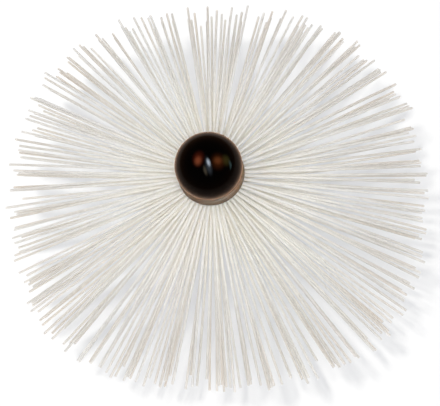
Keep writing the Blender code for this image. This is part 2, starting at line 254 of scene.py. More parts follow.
def draw_profile(name, points):
    """Draw (radius, height) points as a chain of edges, one vertex extruded after another."""
    clear_selection()
    radius, height = points[0]
    bpy.ops.mesh.primitive_plane_add(size=0.0001, location=(radius, 0, height))
    piece = bpy.context.object
    piece.name = piece.data.name = name
    apply_placing()
    edit_all()
    bpy.ops.mesh.merge(type="CENTER")
    for here, there in zip(points, points[1:]):
        step = (there[0] - here[0], 0, there[1] - here[1])
        bpy.ops.mesh.extrude_vertices_move(TRANSFORM_OT_translate={"value": step})
    return piece


def turn_piece(name, points, steps=TURN_STEPS):
    """Turn a profile about the Z axis, as on a lathe."""
    piece = draw_profile(name, points)
    bpy.ops.mesh.select_all(action="SELECT")
    bpy.ops.mesh.spin(steps=steps, angle=2 * math.pi, center=(0, 0, 0), axis=(0, 0, 1))
    tidy_mesh()
    return piece


def ring_points(bore, outer, base, top, edge):
    """Closed profile of a ring with its four corners broken."""
    return [(bore + edge, base), (outer - edge, base), (outer, base + edge),
            (outer, top - edge), (outer - edge, top), (bore + edge, top),
            (bore, top - edge), (bore, base + edge), (bore + edge, base)]


def dress(piece, finish):
    """Give a piece one finish, by name, in place of any that it has."""
    piece.data.materials.clear()
    piece.data.materials.append(bpy.data.materials[finish])


def put_on(piece, finish, slot, *nodes):
    """Give a new piece its finish, the frame's body and the nodes it stands for; the slot is not
    used.
    """
    dress(piece, finish)
    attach(piece, "root")
    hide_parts(*nodes)


# Material helpers

def set_inputs(node, values):
    """Set inputs of a node, by value or by link."""
    for key, value in values.items():
        if isinstance(value, bpy.types.NodeSocket):
            node.id_data.links.new(value, node.inputs[key])
        else:
            node.inputs[key].default_value = value


def add(tree, kind, values=None, **settings):
    """Add a node, set its own settings, then its inputs."""
    node = tree.nodes.new(kind)
    for key, value in settings.items():
        setattr(node, key, value)
    set_inputs(node, values or {})
    return node


def math_node(tree, operation, first, second=0.0, clamp=False):
    node = add(tree, "ShaderNodeMath", {0: first, 1: second}, operation=operation)
    node.use_clamp = clamp
    return node.outputs[0]


def vector_math(tree, operation, first, second=(0, 0, 0)):
    node = add(tree, "ShaderNodeVectorMath", {0: first, 1: second}, operation=operation)
    return node.outputs["Value" if operation in ("DOT_PRODUCT", "LENGTH") else "Vector"]


def remap(tree, value, low, high, to_low=0.0, to_high=1.0, kind="LINEAR"):
    node = add(tree, "ShaderNodeMapRange", {"Value": value, "From Min": low, "From Max": high,
                                            "To Min": to_low, "To Max": to_high})
    node.interpolation_type = kind
    return node.outputs["Result"]


def mix_colour(tree, factor, first, second, blend="MIX"):
    first, second = (value if isinstance(value, bpy.types.NodeSocket) else (*value, 1.0)
                     for value in (first, second))
    node = add(tree, "ShaderNodeMix", {0: factor, 6: first, 7: second},
               data_type="RGBA", blend_type=blend)
    return node.outputs[2]


def object_place(tree):
    return add(tree, "ShaderNodeTexCoord").outputs["Object"]


def noise(tree, place, scale, detail=2.0, roughness=0.5):
    node = add(tree, "ShaderNodeTexNoise", {"Vector": place, "Scale": scale, "Detail": detail,
                                            "Roughness": roughness})
    return node.outputs["Fac"]


def new_group(name, inputs, *outputs):
    """Start a node group of numbers: its inputs with their defaults, then its outputs."""
    tree = bpy.data.node_groups.new(name, "ShaderNodeTree")
    for label, default in inputs.items():
        socket = tree.interface.new_socket(label, in_out="INPUT", socket_type="NodeSocketFloat")
        socket.default_value = default
    for label in outputs:
        tree.interface.new_socket(label, in_out="OUTPUT", socket_type="NodeSocketFloat")
    given = tree.nodes.new("NodeGroupInput").outputs
    return tree, given, tree.nodes.new("NodeGroupOutput")


def place_group(tree, group, values):
    return add(tree, "ShaderNodeGroup", values, node_tree=group).outputs


def edge_rub_group():
    """Mask that is 1 along outer edges, where handling and spanners rub a finish."""
    tree, given, result = new_group("edge_rub", {"Width": 0.0004, "Breakup Scale": 900.0}, "Mask")
    rounded = add(tree, "ShaderNodeBevel", {"Radius": given["Width"]}, samples=4)
    true_normal = add(tree, "ShaderNodeNewGeometry").outputs["Normal"]
    alike = vector_math(tree, "DOT_PRODUCT", rounded.outputs["Normal"], true_normal)
    edge = remap(tree, alike, 0.995, 0.90)
    patches = remap(tree, noise(tree, object_place(tree), given["Breakup Scale"], 3.0), 0.35, 0.62)
    set_inputs(result, {"Mask": math_node(tree, "MULTIPLY", edge, patches, clamp=True)})
    return tree


def breakup_group():
    """Broad and fine variation that no real surface is without."""
    scales = {"Broad Scale": 60.0, "Fine Scale": 900.0}
    tree, given, result = new_group("surface_breakup", scales, "Broad", "Fine")
    place = object_place(tree)
    broad = remap(tree, noise(tree, place, given["Broad Scale"], 4.0, 0.55), 0.3, 0.7)
    fine = remap(tree, noise(tree, place, given["Fine Scale"], 3.0, 0.6), 0.25, 0.75)
    set_inputs(result, {"Broad": broad, "Fine": fine})
    return tree


def turning_group():
    """Fine circular marks that a lathe tool leaves, as height."""
    tree, given, result = new_group("turning_marks", {"Spacing": 0.0003}, "Height")
    split = add(tree, "ShaderNodeSeparateXYZ", {0: object_place(tree)})
    flat = add(tree, "ShaderNodeCombineXYZ", {"X": split.outputs["X"], "Y": split.outputs["Y"]})
    radius = vector_math(tree, "LENGTH", flat.outputs[0])
    across = math_node(tree, "ADD", radius, split.outputs["Z"])
    count = math_node(tree, "DIVIDE", across, given["Spacing"])
    marks = add(tree, "ShaderNodeTexNoise", {"W": count, "Scale": 1.0, "Detail": 2.0},
                noise_dimensions="1D")
    set_inputs(result, {"Height": marks.outputs["Fac"]})
    return tree


def thread_group():
    """Screw thread about the Z axis, as height."""
    tree, given, result = new_group("screw_thread", {"Pitch": 0.0015}, "Height")
    split = add(tree, "ShaderNodeSeparateXYZ", {0: object_place(tree)})
    turn = math_node(tree, "ARCTAN2", split.outputs["Y"], split.outputs["X"])
    turns = math_node(tree, "DIVIDE", turn, 2 * math.pi)
    climb = math_node(tree, "DIVIDE", split.outputs["Z"], given["Pitch"])
    phase = math_node(tree, "SUBTRACT", climb, turns)
    set_inputs(result, {"Height": math_node(tree, "PINGPONG", phase, 0.5)})
    return tree


def start_material(name, base, roughness, metallic=0.0):
    """Start a finish and give its tree and its shader."""
    material = bpy.data.materials.new(name)
    material.use_nodes = True
    material.diffuse_color = (*base, 1.0)
    tree = material.node_tree
    shader = tree.nodes["Principled BSDF"]
    set_inputs(shader, {"Base Color": (*base, 1.0), "Roughness": roughness,
                        "Metallic": metallic})
    return tree, shader


def bump(tree, shader, height, distance, strength=1.0):
    node = add(tree, "ShaderNodeBump", {"Height": height, "Distance": distance,
                                        "Strength": strength})
    set_inputs(shader, {"Normal": node.outputs["Normal"]})


def nylon_material(strands):
    """Cream nylon: each strand has its own tone, warmer towards its tip, and greyer there with
    painted shade.
    """
    tree, shader = start_material("cream_nylon", strands.cream, 0.4)
    tone, along = (add(tree, "ShaderNodeAttribute", attribute_name=name).outputs["Fac"]
                   for name in ("strand_tone", "strand_along"))
    # Streaks some millimetres long, with other ones on each strand
    spot = add(tree, "ShaderNodeCombineXYZ", {
        "X": math_node(tree, "MULTIPLY", along, 26.0),
        "Y": math_node(tree, "MULTIPLY", tone, 611.0)})
    streak = noise(tree, spot.outputs[0], 1.0, 3.0)
    warm = math_node(tree, "MULTIPLY", remap(tree, tone, 0.35, 1.0, 0.0, 0.9),
                     remap(tree, along, 0.0, 0.35, 0.4, 1.0))
    base = mix_colour(tree, warm, strands.cream, strands.tan)
    # Painted shade: darker and greyer from about a quarter of the way out to the tip, for the
    # bounced light that lone strands miss
    tip_shade_amount = math_node(tree, "MULTIPLY", remap(tree, along, 0.28, 0.95, 0.0, 1.0, "SMOOTHSTEP"),
                       remap(tree, tone, 0.0, 1.0, 0.62, 1.0))
    # A second draw for each strand, made from its tone, picks the tint of its painted tip shade
    hue = math_node(tree, "FRACT", math_node(tree, "MULTIPLY", tone, 7.3))
    shaded_tip_colour = mix_colour(tree, hue, strands.tip, strands.shaded_tip_brown)
    base = mix_colour(tree, tip_shade_amount, base, shaded_tip_colour)
    shade = remap(tree, streak, 0.3, 0.7, 0.94, 1.03)
    bump(tree, shader, noise(tree, object_place(tree), 700.0, 2.0), 0.00002, 0.4)
    # Light wanders much farther inside a strand than the strand is thick
    set_inputs(shader, {"Base Color": mix_colour(tree, 1.0, base, shade, "MULTIPLY"),
                        "Roughness": remap(tree, streak, 0.3, 0.7, 0.32, 0.5),
                        "Specular IOR Level": 0.0, "Subsurface Weight": 1.0,
                        "Subsurface Radius": (0.008, 0.008, 0.008), "Subsurface Scale": 1.0})


def ball_material(ball, breakup):
    """Black phenolic with a high polish, dulled a little by handling."""
    tree, shader = start_material("black_phenolic", ball.black, ball.roughness)
    vary = place_group(tree, breakup, {"Broad Scale": 70.0, "Fine Scale": 1500.0})
    darker = tuple(0.6 * channel for channel in ball.black)
    rough = remap(tree, vary["Broad"], 0.0, 1.0, 0.8 * ball.roughness, 1.5 * ball.roughness)
    bump(tree, shader, vary["Fine"], 0.000004, 0.35)
    set_inputs(shader, {"Base Color": mix_colour(tree, vary["Broad"], darker, ball.black),
                        "Roughness": rough,
                        "Specular IOR Level": 0.02, "Specular Tint": (1.0, 0.70, 0.52, 1.0),
                        "Sheen Weight": 0.47, "Sheen Roughness": 0.30,
                        "Sheen Tint": (1.0, 0.50, 0.26, 1.0)})


def wood_material(collar, breakup, turning):
    """Varnished beech: grain along X, crossed by the lathe's fine marks."""
    tree, shader = start_material("turned_beech", collar.light, 0.5)
    place = object_place(tree)
    stretched = add(tree, "ShaderNodeMapping", {"Vector": place, "Scale": (14.0, 120.0, 120.0)})
    grain = noise(tree, stretched.outputs[0], 4.0, 6.0, 0.6)
    pores = add(tree, "ShaderNodeMapping", {"Vector": place, "Scale": (260.0, 2400.0, 2400.0)})
    flecks = noise(tree, pores.outputs[0], 1.0, 2.0)
    base = mix_colour(tree, remap(tree, grain, 0.32, 0.68), collar.light, collar.dark)
    base = mix_colour(tree, remap(tree, flecks, 0.60, 0.75, 0.0, 0.5), base, collar.dark)
    marks = place_group(tree, turning, {"Spacing": 0.00035})["Height"]
    tone = remap(tree, marks, 0.2, 0.8, 0.90, 1.08)
    vary = place_group(tree, breakup, {"Broad Scale": 90.0, "Fine Scale": 1100.0})
    set_inputs(shader, {"Base Color": mix_colour(tree, 1.0, base, tone, "MULTIPLY"),
                        "Roughness": remap(tree, vary["Broad"], 0.0, 1.0, 0.42, 0.58),
                        "Specular IOR Level": 0.12})
    height = math_node(tree, "ADD", marks, math_node(tree, "MULTIPLY", grain, 0.8))
    bump(tree, shader, height, 0.00003, 0.6)


def metal_material(name, base, roughness, breakup, rub, turning=None, thread=None, pitch=0.0):
    """Plated or bare metal with cloudy roughness, rubbed edges and tool marks or a thread."""
    tree, shader = start_material(name, base, roughness, 1.0)
    vary = place_group(tree, breakup, {"Broad Scale": 140.0, "Fine Scale": 1600.0})
    dull = tuple(0.72 * channel for channel in base)
    bright = tuple(min(1.0, 1.25 * channel + 0.05) for channel in base)
    tinted = mix_colour(tree, vary["Broad"], dull, base)
    edges = place_group(tree, rub, {"Width": 0.00035, "Breakup Scale": 1200.0})["Mask"]
    cloudy = remap(tree, vary["Broad"], 0.0, 1.0, 0.75 * roughness, 1.3 * roughness)
    grit = remap(tree, vary["Fine"], 0.0, 1.0, -0.05, 0.05)
    set_inputs(shader, {"Base Color": mix_colour(tree, edges, tinted, bright),
                        "Roughness": math_node(tree, "ADD", cloudy, grit)})
    if thread:
        height = place_group(tree, thread, {"Pitch": pitch})["Height"]
        bump(tree, shader, height, 0.6 * pitch)
    elif turning:
        height = place_group(tree, turning, {"Spacing": 0.00018})["Height"]
        bump(tree, shader, height, 0.00001, 0.7)
    else:
        bump(tree, shader, vary["Fine"], 0.00001, 0.6)


# Strands

# Turn of each row, in sixths of a strand's share, so that no row hides behind another
ROW_TURNS = (0, 2, 4, 5, 1, 3)
# Least room between neighbouring roots
ROOT_GAP = 0.0003
# Where a strand is cut across, as shares of its length; how thick it is up to such places
STRAND_CUTS = (0.010, 0.12, 0.30, 0.52, 0.76, 0.997)
ROOT_FLARE = ((0.02, 1.22), (0.2, 1.12), (0.4, 1.06))
TIP_START, TIP_TAPER = 0.999, 0.80
# Largest bow aside, and spread of the sag, as multiples of a typical bow
LARGEST_BOW, SAG = 2.4, 0.6
# Seed of the bows and tones, which the frame's strands don't have
LOOK_SEED = 700


def strand_share(strands):
    return 2 * math.pi / strands.per_row


def tip_radius(strands, turn):
    """Outline of the tips: slightly squared and oval, and trimmed a little off the axis."""
    squared = strands.tip_squareness * math.cos(4 * turn)
    oval = strands.tip_ovalness * math.cos(2 * (turn - strands.tip_oval_angle))
    offset = strands.tip_offset * math.cos(turn - strands.tip_offset_angle)
    return strands.tip_diameter / 2 * (1 - squared + oval) + offset


def strand_ends(strands, index, number, chance):
    """Root and tip of one strand, where the frame's own strand has them."""
    part = strand_share(strands)
    backing = strands.backing_diameter / 2
    root_room = backing * math.sin(part / 2) - (strands.width + ROOT_GAP) / 2
    layer_room = (strands.row_pitch + strands.lean_step - strands.width
                  - strands.clearance) / 2
    turn = ROW_TURNS[index] / len(ROW_TURNS) * part + number * part
    sideways = chance.uniform(-root_room, root_room)
    height = strand_height(strands, index)
    reach = backing * math.cos(part / 2)
    root = Vector((reach * math.cos(turn) - sideways * math.sin(turn),
                   reach * math.sin(turn) + sideways * math.cos(turn), height))
    side = chance.uniform(-strands.side_scatter, strands.side_scatter)
    tip_turn = turn + side * part / 2
    shortfall = min(abs(chance.gauss(0, strands.length_scatter)), strands.largest_shortfall)
    reach = tip_radius(strands, tip_turn) - shortfall
    lean = strands.front_lean + index * strands.lean_step
    lean += chance.uniform(-layer_room, layer_room)
    slope = lean / (strands.tip_diameter / 2 - backing)
    tip = Vector((reach * math.cos(tip_turn), reach * math.sin(tip_turn),
                  height - slope * (reach - backing)))
    return root, tip


def strand_height(strands, index):
    """Height of a row's roots: the middle of its backing ring."""
    return node_top("core_sleeve") - backing_half(strands) - index * strands.row_pitch


def backing_half(strands):
    """Half the height of a backing ring."""
    return strands.width / 2 + strands.backing_wall


def strand_blank():
    """One strand along X, one unit long and one thick, with a flared root and a cut tip."""
    clear_selection()
    bpy.ops.mesh.primitive_cylinder_add(vertices=8, radius=0.5, depth=1.0, location=(0.5, 0, 0),
                                        rotation=(0, math.pi / 2, 0), end_fill_type="NGON")
    blank = bpy.context.object
    blank.name = blank.data.name = "strand_blank"
    apply_placing()
    edit_all()
    for place in STRAND_CUTS:
        bpy.ops.mesh.select_all(action="SELECT")
        bpy.ops.mesh.bisect(plane_co=(place, 0, 0), plane_no=(1, 0, 0))
    tidy_mesh()
    for corner in blank.data.vertices:
        if corner.co.x > TIP_START:
            corner.co.yz *= TIP_TAPER
        for place, thickness in ROOT_FLARE:
            if corner.co.x < place:
                corner.co.yz *= thickness
                break
    blank.data.attributes.new("strand_tone", "FLOAT", "POINT")
    blank.data.attributes.new("strand_along", "FLOAT", "POINT")
    return blank


def place_strand(strands, blank, name, root, tip, look):
    """Copy the blank between a root and a tip, bowed a little, with a tone of its own."""
    piece = blank.copy()
    piece.data = blank.data.copy()
    piece.name = piece.data.name = name
    bpy.context.scene.collection.objects.link(piece)
    along = tip - root
    forward = along.normalized()
    across = Vector((-forward.y, forward.x, 0)).normalized()
    upward = forward.cross(across)
    aside = max(-LARGEST_BOW, min(LARGEST_BOW, look.gauss(0, 1))) * strands.bow
    sag = abs(look.gauss(0, SAG)) * strands.bow
    spin = look.uniform(0, math.pi / 4)
    tone = look.random()
    mesh = piece.data
    for corner in mesh.vertices:
        share_along, y, z = corner.co
        bend = 4 * share_along * (1 - share_along)
        turned_y = y * math.cos(spin) - z * math.sin(spin)
        turned_z = y * math.sin(spin) + z * math.cos(spin)
        corner.co = (root + share_along * along
                     + (turned_y * strands.width + bend * aside) * across
                     + (turned_z * strands.width - bend * sag) * upward)
        mesh.attributes["strand_tone"].data[corner.index].value = tone
        mesh.attributes["strand_along"].data[corner.index].value = share_along
    return piece


def backing_ring(strands, index):
    """Moulded ring that a row's strands grow out of, with its edges rounded."""
    middle = strand_height(strands, index)
    half = backing_half(strands)
    bore = node_radius("core_sleeve") + CLEARANCE
    outer = strands.backing_diameter / 2 * math.cos(strand_share(strands) / 2)
    points = ring_points(bore, outer, middle - half, middle + half, EDGE)
    return turn_piece(f"backing_ring_{index + 1}", points, 2 * strands.per_row)


class CHIMNEY_OT_bristle_rows(bpy.types.Operator):
    """Rows of nylon strands, each row moulded into its own backing ring"""
    bl_idname = "chimney_brush.bristle_rows"
    bl_label = "Bristle Rows"

    def execute(self, context):
        strands = context.scene.chimney_strands
        blank = strand_blank()
        for index in range(strands.rows):
            chance = random.Random(strands.seed + index)
            look = random.Random(LOOK_SEED + index)
            ring = backing_ring(strands, index)
            row = []
            for number in range(strands.per_row):
                root, tip = strand_ends(strands, index, number, chance)
                row.append(place_strand(strands, blank, f"strand_{index + 1}_{number + 1}",
                                        root, tip, look))
            join(ring, *row)
            ring.name = ring.data.name = f"nylon_row_{index + 1}"
            smooth(ring, degrees=40)
            put_on(ring, "cream_nylon", "nylon", f"bristle_row_{index + 1}")
        bpy.data.objects.remove(blank)
        return {"FINISHED"}


# Ball and collar

class CHIMNEY_OT_guide_ball(bpy.types.Operator):
    """Polished black ball with a bored mouth that screws down on the collar"""
    bl_idname = "chimney_brush.guide_ball"
    bl_label = "Guide Ball"

    def execute(self, context):
        ball = context.scene.chimney_ball
        radius = ball.diameter / 2
        centre = node_top("guide_ball") - radius
        mouth = ball.mouth_diameter / 2
        base = node_base("guide_ball")
        broken_edge = 1.2
        start = broken_edge - math.degrees(math.acos(mouth / radius))
        outside = arc((0, centre), radius, start, 90, 48)
        wall = node_radius("ball_insert") + CLEARANCE
        top = node_top("ball_insert") + CLEARANCE
        inside = [(0, top), (wall, top), (wall, base + EDGE), (wall + EDGE, base),
                  (mouth - EDGE, base)]
        piece = turn_piece("polished_ball", outside + inside + outside[:1], FINE_TURN_STEPS)
        smooth(piece)
        put_on(piece, "black_phenolic", "ball_black", "guide_ball")
        return {"FINISHED"}


class CHIMNEY_OT_front_collar(bpy.types.Operator):
    """Turned wooden collar with a half-round bead and a dished seat for the ball"""
    bl_idname = "chimney_brush.front_collar"
    bl_label = "Front Collar"

    def execute(self, context):
        collar = context.scene.chimney_collar
        ball = context.scene.chimney_ball
        seat = ball.diameter / 2 + SEAT_CLEARANCE
        ball_centre = node_top("guide_ball") - ball.diameter / 2
        base = node_base("front_collar")
        bead = collar.bead_height / 2
        bead_base = base + collar.foot_height
        bead_centre = node_radius("front_collar") - bead
        bore = collar.bore_diameter / 2
        lip_drop = ball_centre - bead_base - 2 * bead
        lip = -math.degrees(math.asin(lip_drop / seat))
        seat_end = -math.degrees(math.acos(bore / seat))
        foot = bead_centre - collar.foot_inset
        fillet = 0.0002
        points = [(bore, base + EDGE), (bore + EDGE, base), (foot - EDGE, base),
                  (foot, base + EDGE), (foot, bead_base - fillet), (foot + fillet, bead_base)]
        points += arc((bead_centre, bead_base + bead), bead, -90, 90, 24)
        points += arc((0, ball_centre), seat, lip, seat_end, 10)
        points += points[:1]
        piece = turn_piece("turned_collar", points, FINE_TURN_STEPS)
        smooth(piece)
        put_on(piece, "turned_beech", "collar_wood", "front_collar")
        return {"FINISHED"}


# Fasteners

# Chamfer at the mouth of a threaded bore
MOUTH_CHAMFER = 0.0008


def trim(piece, tool, operation):
    apply_modifier(piece, "BOOLEAN", operation=operation, solver="EXACT", object=tool)
    bpy.data.objects.remove(tool)


def corner_radius(low, high):
    """Radius at the corners of a hexagonal node, from its box."""
    return (high.x - low.x) / math.sqrt(3)


def chamfered_side(low, high):
    """Outside of a turned blank that a hexagon is cut from, rear face to front face."""
    corner = corner_radius(low, high)
    chamfer = (corner - (high.x - low.x) / 2) * 0.55
    return [(corner - 2 * chamfer, low.z), (corner, low.z + chamfer),
            (corner, high.z - chamfer), (corner - 2 * chamfer, high.z)]


def cut_hexagon(piece, low, high):
    """Cut a turned blank's flats, two of them across X."""
    clear_selection()
    bpy.ops.mesh.primitive_cylinder_add(
        vertices=6, radius=corner_radius(low, high), depth=2 * (high.z - low.z),
        location=(0, 0, (low.z + high.z) / 2))
    flats = bpy.context.object
    apply_placing()
    trim(piece, flats, "INTERSECT")


def break_edges(piece, width):
    """Round off a piece's sharp edges, less than its turned ones."""
    apply_modifier(piece, "BEVEL", width=width * 0.6, segments=2, limit_method="ANGLE",
                   angle_limit=math.radians(35))


class CHIMNEY_OT_washers(bpy.types.Operator):
    """Rear clamp plate and the plain washer behind it"""
    bl_idname = "chimney_brush.washers"
    bl_label = "Plate and Washer"

    def execute(self, context):
        fasteners = context.scene.chimney_fasteners
        bore = fasteners.bore_diameter / 2
        for name, node in (("clamp_plate_rear", "rear_plate"), ("wide_washer", "plain_washer")):
            points = ring_points(bore, node_radius(node), node_base(node), node_top(node),
                                 2 * fasteners.edge)
            piece = turn_piece(name, points)
            smooth(piece)
            put_on(piece, "zinc_plated_turned", "zinc_steel", node)
        return {"FINISHED"}


class CHIMNEY_OT_spring_washer(bpy.types.Operator):
    """Split spring washer of square section that climbs from one end to the other"""
    bl_idname = "chimney_brush.spring_washer"
    bl_label = "Spring Washer"

    def execute(self, context):
        fasteners = context.scene.chimney_fasteners
        bore = fasteners.bore_diameter / 2
        low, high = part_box("spring_washer")
        rise = 0.0004
        split = math.radians(12)
        points = ring_points(bore, high.x, low.z, high.z - rise, fasteners.edge)
        piece = draw_profile("split_washer", points)
        merge_corners()
        bpy.ops.mesh.edge_face_add()
        bpy.ops.mesh.select_all(action="SELECT")
        bpy.ops.mesh.spin(steps=72, angle=2 * math.pi - split, center=(0, 0, 0), axis=(0, 0, 1))
        tidy_mesh()
        for corner in piece.data.vertices:
            turn = math.atan2(corner.co.y, corner.co.x) % (2 * math.pi)
            if turn > 2 * math.pi - split / 2:
                turn = 0.0
            corner.co.z += rise * turn / (2 * math.pi - split)
        smooth(piece)
        put_on(piece, "dark_spring_steel", "dark_steel", "spring_washer")
        return {"FINISHED"}


class CHIMNEY_OT_lock_nut(bpy.types.Operator):
    """Thin hexagon nut, chamfered on both faces"""
    bl_idname = "chimney_brush.lock_nut"
    bl_label = "Lock Nut"

    def execute(self, context):
        fasteners = context.scene.chimney_fasteners
        low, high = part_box("lock_nut")
        bore = fasteners.bore_diameter / 2
        inner = bore + MOUTH_CHAMFER
        points = [(inner, low.z), *chamfered_side(low, high), (inner, high.z),
                  (bore, high.z - MOUTH_CHAMFER), (bore, low.z + MOUTH_CHAMFER), (inner, low.z)]
        piece = turn_piece("hexagon_nut", points)
        cut_hexagon(piece, low, high)
        break_edges(piece, fasteners.edge)
        smooth(piece)
        put_on(piece, "zinc_plated_steel", "zinc_steel", "lock_nut")
        return {"FINISHED"}


def thread_ridge(name, bore, base, top, pitch):
    """Helical ridge of an internal thread, with its root just inside the bore's wall."""
    turns = math.floor((top - base) / pitch) - 1
    root, crest = bore + 0.0001, bore - 0.42 * pitch
    # Flanks that end in a flat crest, in shares of the pitch
    points = [(root, base), (crest, base + 0.42 * pitch),
              (crest, base + 0.55 * pitch), (root, base + 0.97 * pitch)]
    piece = draw_profile(name, points + points[:1])
    merge_corners()
    bpy.ops.object.mode_set(mode="OBJECT")
    apply_modifier(piece, "SCREW", axis="Z", angle=2 * math.pi, screw_offset=pitch,
                   iterations=turns, steps=40, render_steps=40)
    pick(piece)
    edit_all()
    bpy.ops.mesh.select_all(action="DESELECT")
    bpy.ops.mesh.select_non_manifold()
    bpy.ops.mesh.fill_holes(sides=8)
    tidy_mesh()
    return piece


class CHIMNEY_OT_rod_socket(bpy.types.Operator):
    """Hexagonal socket, threaded for a rod at its rear and cross-pinned to the spindle"""
    bl_idname = "chimney_brush.rod_socket"
    bl_label = "Rod Socket"

    def execute(self, context):
        fasteners = context.scene.chimney_fasteners
        low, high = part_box("rod_socket")
        bore = fasteners.bore_diameter / 2
        rod = fasteners.rod_bore_diameter / 2
        depth = low.z + fasteners.rod_bore_depth
        mouth = (rod + MOUTH_CHAMFER, low.z)
        points = [mouth, *chamfered_side(low, high), (bore, high.z), (bore, depth),
                  (rod, depth), (rod, low.z + MOUTH_CHAMFER), mouth]
        piece = turn_piece("threaded_socket", points)
        cut_hexagon(piece, low, high)
        pin_low, pin_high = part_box("socket_pin")
        clear_selection()
        bpy.ops.mesh.primitive_cylinder_add(
            vertices=48, radius=(pin_high.z - pin_low.z) / 2 + CLEARANCE,
            depth=2 * (high.x - low.x), location=(0, 0, (pin_low.z + pin_high.z) / 2),
            rotation=(0, math.pi / 2, 0))
        drill = bpy.context.object
        apply_placing()
        trim(piece, drill, "DIFFERENCE")
        break_edges(piece, fasteners.edge)
        ridge = thread_ridge("rod_thread", rod, low.z + 0.0004, depth, fasteners.rod_pitch)
        join(piece, ridge)
        smooth(piece)
        put_on(piece, "zinc_plated_steel", "zinc_steel", "rod_socket")
        return {"FINISHED"}


class CHIMNEY_OT_frame_finishes(bpy.types.Operator):
    """Finishes of the pieces that stay as the frame has them"""
    bl_idname = "chimney_brush.frame_finishes"
    bl_label = "Frame Finishes"

    def execute(self, context):
        finishes = {"ball_insert": "insert_brass", "front_plate": "zinc_plated_turned",
                    "core_sleeve": "zinc_plated_turned", "spindle": "zinc_plated_thread",
                    "socket_pin": "dark_spring_steel"}
        for number in range(1, 6):
            finishes[f"row_spacer_{number}"] = "zinc_plated_turned"
        for name, finish in finishes.items():
            dress(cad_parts[name], finish)
        return {"FINISHED"}


# Stage

# Where the camera aims, right of and above the ball's centre
AIM_RIGHT, AIM_UP = 0.00674, -0.02175
LAMP_DISTANCE = 1.3
# What polished pieces mirror: the dark room above and its brown walls
ROOM_DARK = (0.002, 0.002, 0.002)
ROOM_BROWN = (0.16, 0.07, 0.04)
WHITE = (1, 1, 1)
# Slight casts of the floor and of the light from all round
FLOOR_TINT = (0.976, 0.989, 1.018)
FILL_TINT = (0.975, 0.99, 1.035)
FLOOR_SIZE = 60
# Patches of the room that the ball reflects: place in the ball's picture as (right, up) shares
# of its radius, long direction there, half sizes as shares, radiance
ROOM_PATCHES = (
    ((0.006, 0.080), (0.3, -1.0), (0.18, 0.080), (200.0, 325.0, 510.0)),
    ((0.01, -0.02), (0.25, -1.0), (0.36, 0.13), (19.0, 32.0, 52.0)),
    ((-0.09, -0.15), (0.28, -1.0), (0.22, 0.08), (27.0, 32.0, 30.0)),
    ((-0.298, 0.125), (0.2, 1.0), (0.20, 0.17), (66.0, 28.0, 16.0)),
    ((-0.290, 0.190), (0.1, 1.0), (0.30, 0.24), (30.0, 6.0, 3.0)),
    ((0.270, 0.140), (1.0, 0.0), (0.19, 0.17), (34.0, 14.5, 6.5)),
    ((0.280, 0.110), (0.2, 1.0), (0.32, 0.30), (20.0, 7.0, 2.2)),
    ((0.51, 0.150), (1.0, 0.0), (0.20, 0.21), (12.0, 13.5, 4.0)),
    ((0.645, 0.010), (-0.35, 1.0), (0.19, 0.075), (8.5, 21.0, 26.0)),
)


def camera_axes(stage):
    """Right, up and backward directions of the camera."""
    azimuth, elevation, roll = stage.camera_azimuth, stage.camera_elevation, stage.camera_roll
    back = Vector((math.cos(elevation) * math.sin(azimuth),
                   -math.cos(elevation) * math.cos(azimuth), math.sin(elevation)))
    level = Vector((math.cos(azimuth), math.sin(azimuth), 0))
    above = back.cross(level)
    right = math.cos(roll) * level + math.sin(roll) * above
    return right, back.cross(right), back


def add_camera(stage):
    right, upward, back = camera_axes(stage)
    ball_centre = node_top("guide_ball") - bpy.context.scene.chimney_ball.diameter / 2
    target = Vector((0, 0, ball_centre)) + AIM_RIGHT * right + AIM_UP * upward
    data = bpy.data.cameras.new("photo_camera")
    data.lens = stage.camera_lens
    data.sensor_width = 36
    data.clip_start = 0.01
    data.clip_end = 100
    camera = bpy.data.objects.new("photo_camera", data)
    bpy.context.scene.collection.objects.link(camera)
    place = target + stage.camera_distance * back
    turn = Matrix((right, upward, back)).transposed().to_4x4()
    camera.matrix_world = Matrix.Translation(place) @ turn
    bpy.context.scene.camera = camera


def add_floor():
    """Pale floor that shows white and keeps a soft shadow of the brush."""
    clear_selection()
    bpy.ops.mesh.primitive_plane_add(size=FLOOR_SIZE, location=(0, 0, 0))
    floor = bpy.context.object
    floor.name = floor.data.name = "floor"
    tree, shader = start_material("white_floor", (0.46, 0.46, 0.46), 0.9)
    set_inputs(shader, {"Specular IOR Level": 0.0})
    path = add(tree, "ShaderNodeLightPath").outputs
    seen = math_node(tree, "MAXIMUM", path["Is Camera Ray"], path["Is Glossy Ray"])
    away = vector_math(tree, "LENGTH", object_place(tree))
    # Polished pieces see the room's brown where the white floor ends
    far = remap(tree, away, 0.30, 0.50, kind="SMOOTHSTEP")
    dim = math_node(tree, "MULTIPLY", far, path["Is Glossy Ray"])
    tone = mix_colour(tree, dim, WHITE, ROOM_BROWN)
    # A glow that reaches white farther off, and a share of the lamps' light, for the shadow
    glow_tone = mix_colour(tree, 1.0, tone, FLOOR_TINT, "MULTIPLY")
    strength = remap(tree, away, 0.25, 1.3, 0.515, 0.95, "SMOOTHSTEP")
    glow = add(tree, "ShaderNodeEmission", {"Color": glow_tone, "Strength": strength})
    lit = add(tree, "ShaderNodeBsdfDiffuse", {
        "Color": mix_colour(tree, 1.0, tone, (0.21, 0.21, 0.21), "MULTIPLY")})
    white = add(tree, "ShaderNodeAddShader", {0: glow.outputs[0], 1: lit.outputs[0]})
    shown = add(tree, "ShaderNodeMixShader", {0: seen, 1: shader.outputs[0], 2: white.outputs[0]})
    set_inputs(tree.nodes["Material Output"], {"Surface": shown.outputs[0]})
    dress(floor, "white_floor")
    return floor


